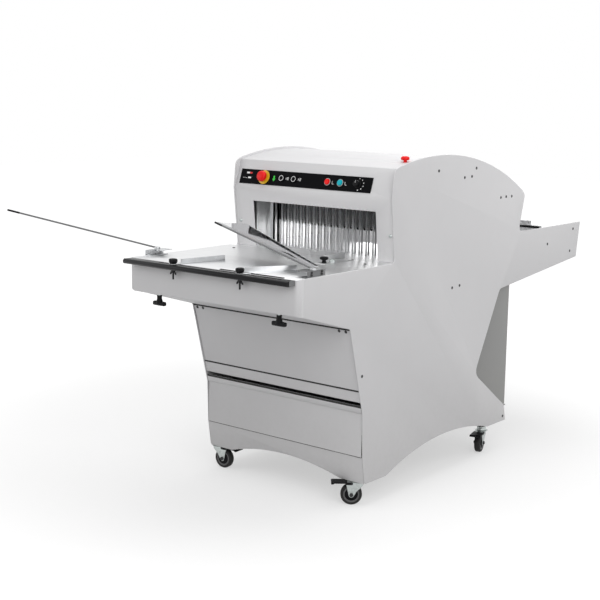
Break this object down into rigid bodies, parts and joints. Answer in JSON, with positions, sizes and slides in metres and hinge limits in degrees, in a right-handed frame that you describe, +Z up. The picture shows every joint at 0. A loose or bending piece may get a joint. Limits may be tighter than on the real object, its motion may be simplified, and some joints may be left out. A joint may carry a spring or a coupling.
{
  "type": "bread slicer",
  "caption": "Floor standing frame slicer for bread, with an infeed trough, a blade gate, a bagging table with guides and paddles, a crumb drawer and braked casters.",
  "frame": {"origin": "middle of the footprint's bounding box, at floor level", "axes": "+X to the operator's right, -Y towards the operator, +Z up"},
  "size_m": [1.2636, 2.0814, 1.1939],
  "materials": {
    "powder": "pale grey powder coat, satin",
    "dark_powder": "darker grey powder coat, satin",
    "stainless": "brushed stainless sheet",
    "zinc": "bright zinc plate",
    "steel": "oiled machined steel",
    "rail_steel": "dark, half gloss",
    "motor_paint": "dark grey paint",
    "belt_rubber": "matt",
    "tyre_rubber": "matt",
    "strip_black": "half gloss film",
    "red_plastic": "gloss",
    "teal_plastic": "gloss",
    "black_plastic": "satin"
  },
  "bodies": {
    "body": {"side_panel_left": "powder", "side_panel_right": "powder", "head_fascia": "powder", "roof_cover": "powder", "passage_hood": "dark_powder", "front_apron": "powder", "front_table": "stainless", "lip_rail": "rail_steel", "comb_plate": "stainless", "infeed_bed": "stainless", "infeed_shell": "powder", "rear_enclosure": "dark_powder", "base_front": "powder", "chassis": "dark_powder", "cross_rail": "powder", "blade_guide_left": "stainless", "blade_guide_right": "stainless", "motor": "motor_paint", "drive_belt": "belt_rubber", "drive_shelf": "steel", "control_strip": "strip_black", "paddle_bracket_left": "stainless", "paddle_bracket_right": "stainless"},
    "door": {"access_door": "powder"},
    "drawer": {"crumb_drawer": "powder"},
    "frame_front": {"blade_frame_front": "stainless"},
    "frame_rear": {"blade_frame_rear": "stainless"},
    "crank": {"crankshaft": "steel"},
    "rod_front": {"connecting_rod_front": "steel"},
    "rod_rear": {"connecting_rod_rear": "steel"},
    "motor_wheel": {"motor_pulley": "steel"},
    "stop": {"stop_button": "red_plastic"},
    "red_push": {"red_button": "red_plastic"},
    "teal_push": {"teal_button": "teal_plastic"},
    "key_left": {"key_switch_left": "black_plastic"},
    "key_right": {"key_switch_right": "black_plastic"},
    "dial": {"speed_dial": "black_plastic"},
    "roof_stop": {"roof_stop_button": "red_plastic"},
    "pusher": {"pusher": "stainless"},
    "paddle_left": {"paddle_left": "stainless"},
    "paddle_right": {"paddle_right": "stainless"},
    "clamp_left": {"guide_clamp_left": "black_plastic"},
    "clamp_right": {"guide_clamp_right": "black_plastic"},
    "guide_left": {"table_guide_left": "stainless"},
    "guide_right": {"table_guide_right": "stainless"},
    "outlet_guide": {"outlet_guide": "stainless"},
    "tee_left": {"tee_knob_left": "black_plastic"},
    "tee_right": {"tee_knob_right": "black_plastic"},
    "fork_front_left": {"caster_fork_front_left": "zinc"},
    "wheel_front_left": {"caster_wheel_front_left": "tyre_rubber"},
    "pedal_front_left": {"brake_pedal_front_left": "black_plastic"},
    "fork_front_right": {"caster_fork_front_right": "zinc"},
    "wheel_front_right": {"caster_wheel_front_right": "tyre_rubber"},
    "pedal_front_right": {"brake_pedal_front_right": "black_plastic"},
    "fork_rear_left": {"caster_fork_rear_left": "zinc"},
    "wheel_rear_left": {"caster_wheel_rear_left": "tyre_rubber"},
    "pedal_rear_left": {"brake_pedal_rear_left": "black_plastic"},
    "fork_rear_right": {"caster_fork_rear_right": "zinc"},
    "wheel_rear_right": {"caster_wheel_rear_right": "tyre_rubber"},
    "pedal_rear_right": {"brake_pedal_rear_right": "black_plastic"}
  },
  "joints": [
    {"name": "door_swing", "type": "hinge", "parent": "body", "child": "door", "pos_m": [0.27183, -0.5753, 0.627], "axis": [-1, 0, 0], "range_deg": [0, 95]},
    {"name": "drawer_slide", "type": "slide", "parent": "body", "child": "drawer", "axis": [0, -1, 0], "range_m": [0, 0.45]},
    {"name": "frame_front_stroke", "type": "slide", "parent": "body", "child": "frame_front", "axis": [0, 0, 1], "range_m": [-0.012, 0.012]},
    {"name": "frame_rear_stroke", "type": "slide", "parent": "body", "child": "frame_rear", "axis": [0, 0, 1], "range_m": [-0.012, 0.012]},
    {"name": "crank_spin", "type": "hinge", "parent": "body", "child": "crank", "pos_m": [0.27183, -0.2333, 0.516], "axis": [1, 0, 0], "continuous": true},
    {"name": "rod_front_pivot", "type": "hinge", "parent": "crank", "child": "rod_front", "pos_m": [0.21183, -0.2213, 0.516], "axis": [1, 0, 0], "continuous": true},
    {"name": "rod_rear_pivot", "type": "hinge", "parent": "crank", "child": "rod_rear", "pos_m": [0.33183, -0.2453, 0.516], "axis": [1, 0, 0], "continuous": true},
    {"name": "motor_spin", "type": "hinge", "parent": "body", "child": "motor_wheel", "pos_m": [0.48433, 0.0467, 0.4803], "axis": [1, 0, 0], "continuous": true},
    {"name": "stop_press", "type": "slide", "parent": "body", "child": "stop", "axis": [0, 0.9459, -0.3246], "range_m": [0, 0.005], "stiffness_N_per_m": 600, "springref_m": -0.001},
    {"name": "red_press", "type": "slide", "parent": "body", "child": "red_push", "axis": [0, 0.9459, -0.3246], "range_m": [0, 0.004], "stiffness_N_per_m": 300, "springref_m": -0.001},
    {"name": "teal_press", "type": "slide", "parent": "body", "child": "teal_push", "axis": [0, 0.9459, -0.3246], "range_m": [0, 0.004], "stiffness_N_per_m": 300, "springref_m": -0.001},
    {"name": "roof_stop_press", "type": "slide", "parent": "body", "child": "roof_stop", "axis": [0, 0, -1], "range_m": [0, 0.004], "stiffness_N_per_m": 600, "springref_m": -0.002},
    {"name": "key_left_turn", "type": "hinge", "parent": "body", "child": "key_left", "pos_m": [0.13383, -0.34802, 1.09462], "axis": [0, 0.9459, -0.3246], "range_deg": [0, 90]},
    {"name": "key_right_turn", "type": "hinge", "parent": "body", "child": "key_right", "pos_m": [0.19083, -0.34802, 1.09462], "axis": [0, 0.9459, -0.3246], "range_deg": [0, 90]},
    {"name": "dial_turn", "type": "hinge", "parent": "body", "child": "dial", "pos_m": [0.47383, -0.34802, 1.09462], "axis": [0, 0.9459, -0.3246], "range_deg": [-135, 135]},
    {"name": "pusher_slide", "type": "slide", "parent": "body", "child": "pusher", "axis": [0, -1, 0], "range_m": [-0.27, 0.85]},
    {"name": "paddle_left_swing", "type": "hinge", "parent": "body", "child": "paddle_left", "pos_m": [-0.09417, -0.7563, 0.8553], "axis": [0, 0, 1], "range_deg": [-70, 55]},
    {"name": "paddle_right_swing", "type": "hinge", "parent": "body", "child": "paddle_right", "pos_m": [0.61383, -0.7683, 0.8553], "axis": [0, 0, 1], "range_deg": [-15, 100]},
    {"name": "clamp_left_slide", "type": "slide", "parent": "body", "child": "clamp_left", "axis": [1, 0, 0], "range_m": [-0.055, 0.06]},
    {"name": "clamp_right_slide", "type": "slide", "parent": "body", "child": "clamp_right", "axis": [1, 0, 0], "range_m": [-0.06, 0.03]},
    {"name": "guide_left_turn", "type": "hinge", "parent": "clamp_left", "child": "guide_left", "pos_m": [0.11083, -0.8846, 0.836], "axis": [0, 0, 1], "range_deg": [-20, 25]},
    {"name": "guide_right_turn", "type": "hinge", "parent": "clamp_right", "child": "guide_right", "pos_m": [0.40883, -0.8846, 0.836], "axis": [0, 0, 1], "range_deg": [-15, 25]},
    {"name": "outlet_guide_slide", "type": "slide", "parent": "body", "child": "outlet_guide", "axis": [1, 0, 0], "range_m": [-0.12, 0.07]},
    {"name": "tee_left_turn", "type": "hinge", "parent": "body", "child": "tee_left", "pos_m": [0.00383, -0.8433, 0.7], "axis": [0, 0, 1], "range_deg": [0, 720]},
    {"name": "tee_right_turn", "type": "hinge", "parent": "body", "child": "tee_right", "pos_m": [0.53983, -0.8433, 0.7], "axis": [0, 0, 1], "range_deg": [0, 720]},
    {"name": "swivel_front_left", "type": "hinge", "parent": "body", "child": "fork_front_left", "pos_m": [-0.06517, -0.4643, 0.09], "axis": [0, 0, 1], "continuous": true},
    {"name": "roll_front_left", "type": "hinge", "parent": "fork_front_left", "child": "wheel_front_left", "pos_m": [-0.03824, -0.46242, 0.0375], "axis": [0.0698, -0.9976, 0], "continuous": true},
    {"name": "brake_front_left", "type": "hinge", "parent": "fork_front_left", "child": "pedal_front_left", "pos_m": [-0.03824, -0.46242, 0.0785], "axis": [0.0698, -0.9976, 0], "range_deg": [-15, 0]},
    {"name": "swivel_front_right", "type": "hinge", "parent": "body", "child": "fork_front_right", "pos_m": [0.59283, -0.4643, 0.09], "axis": [0, 0, 1], "continuous": true},
    {"name": "roll_front_right", "type": "hinge", "parent": "fork_front_right", "child": "wheel_front_right", "pos_m": [0.57185, -0.48129, 0.0375], "axis": [-0.6293, 0.7771, 0], "continuous": true},
    {"name": "brake_front_right", "type": "hinge", "parent": "fork_front_right", "child": "pedal_front_right", "pos_m": [0.57185, -0.48129, 0.0785], "axis": [-0.6293, 0.7771, 0], "range_deg": [-15, 0]},
    {"name": "swivel_rear_left", "type": "hinge", "parent": "body", "child": "fork_rear_left", "pos_m": [-0.04517, 0.3867, 0.09], "axis": [0, 0, 1], "continuous": true},
    {"name": "roll_rear_left", "type": "hinge", "parent": "fork_rear_left", "child": "wheel_rear_left", "pos_m": [-0.03167, 0.41008, 0.0375], "axis": [0.866, -0.5, 0], "continuous": true},
    {"name": "brake_rear_left", "type": "hinge", "parent": "fork_rear_left", "child": "pedal_rear_left", "pos_m": [-0.03167, 0.41008, 0.0785], "axis": [0.866, -0.5, 0], "range_deg": [-15, 0]},
    {"name": "swivel_rear_right", "type": "hinge", "parent": "body", "child": "fork_rear_right", "pos_m": [0.57283, 0.3867, 0.09], "axis": [0, 0, 1], "continuous": true},
    {"name": "roll_rear_right", "type": "hinge", "parent": "fork_rear_right", "child": "wheel_rear_right", "pos_m": [0.58027, 0.36074, 0.0375], "axis": [-0.9613, -0.2756, 0], "continuous": true},
    {"name": "brake_rear_right", "type": "hinge", "parent": "fork_rear_right", "child": "pedal_rear_right", "pos_m": [0.58027, 0.36074, 0.0785], "axis": [-0.9613, -0.2756, 0], "range_deg": [-15, 0]}
  ],
  "couplings": [
    {"joint": "frame_rear_stroke", "follows": "frame_front_stroke", "ratio": -1},
    {"joint": "rod_front_pivot", "follows": "crank_spin", "ratio": -1},
    {"joint": "rod_rear_pivot", "follows": "crank_spin", "ratio": -1},
    {"joint": "motor_spin", "follows": "crank_spin", "ratio": 2}
  ]
}
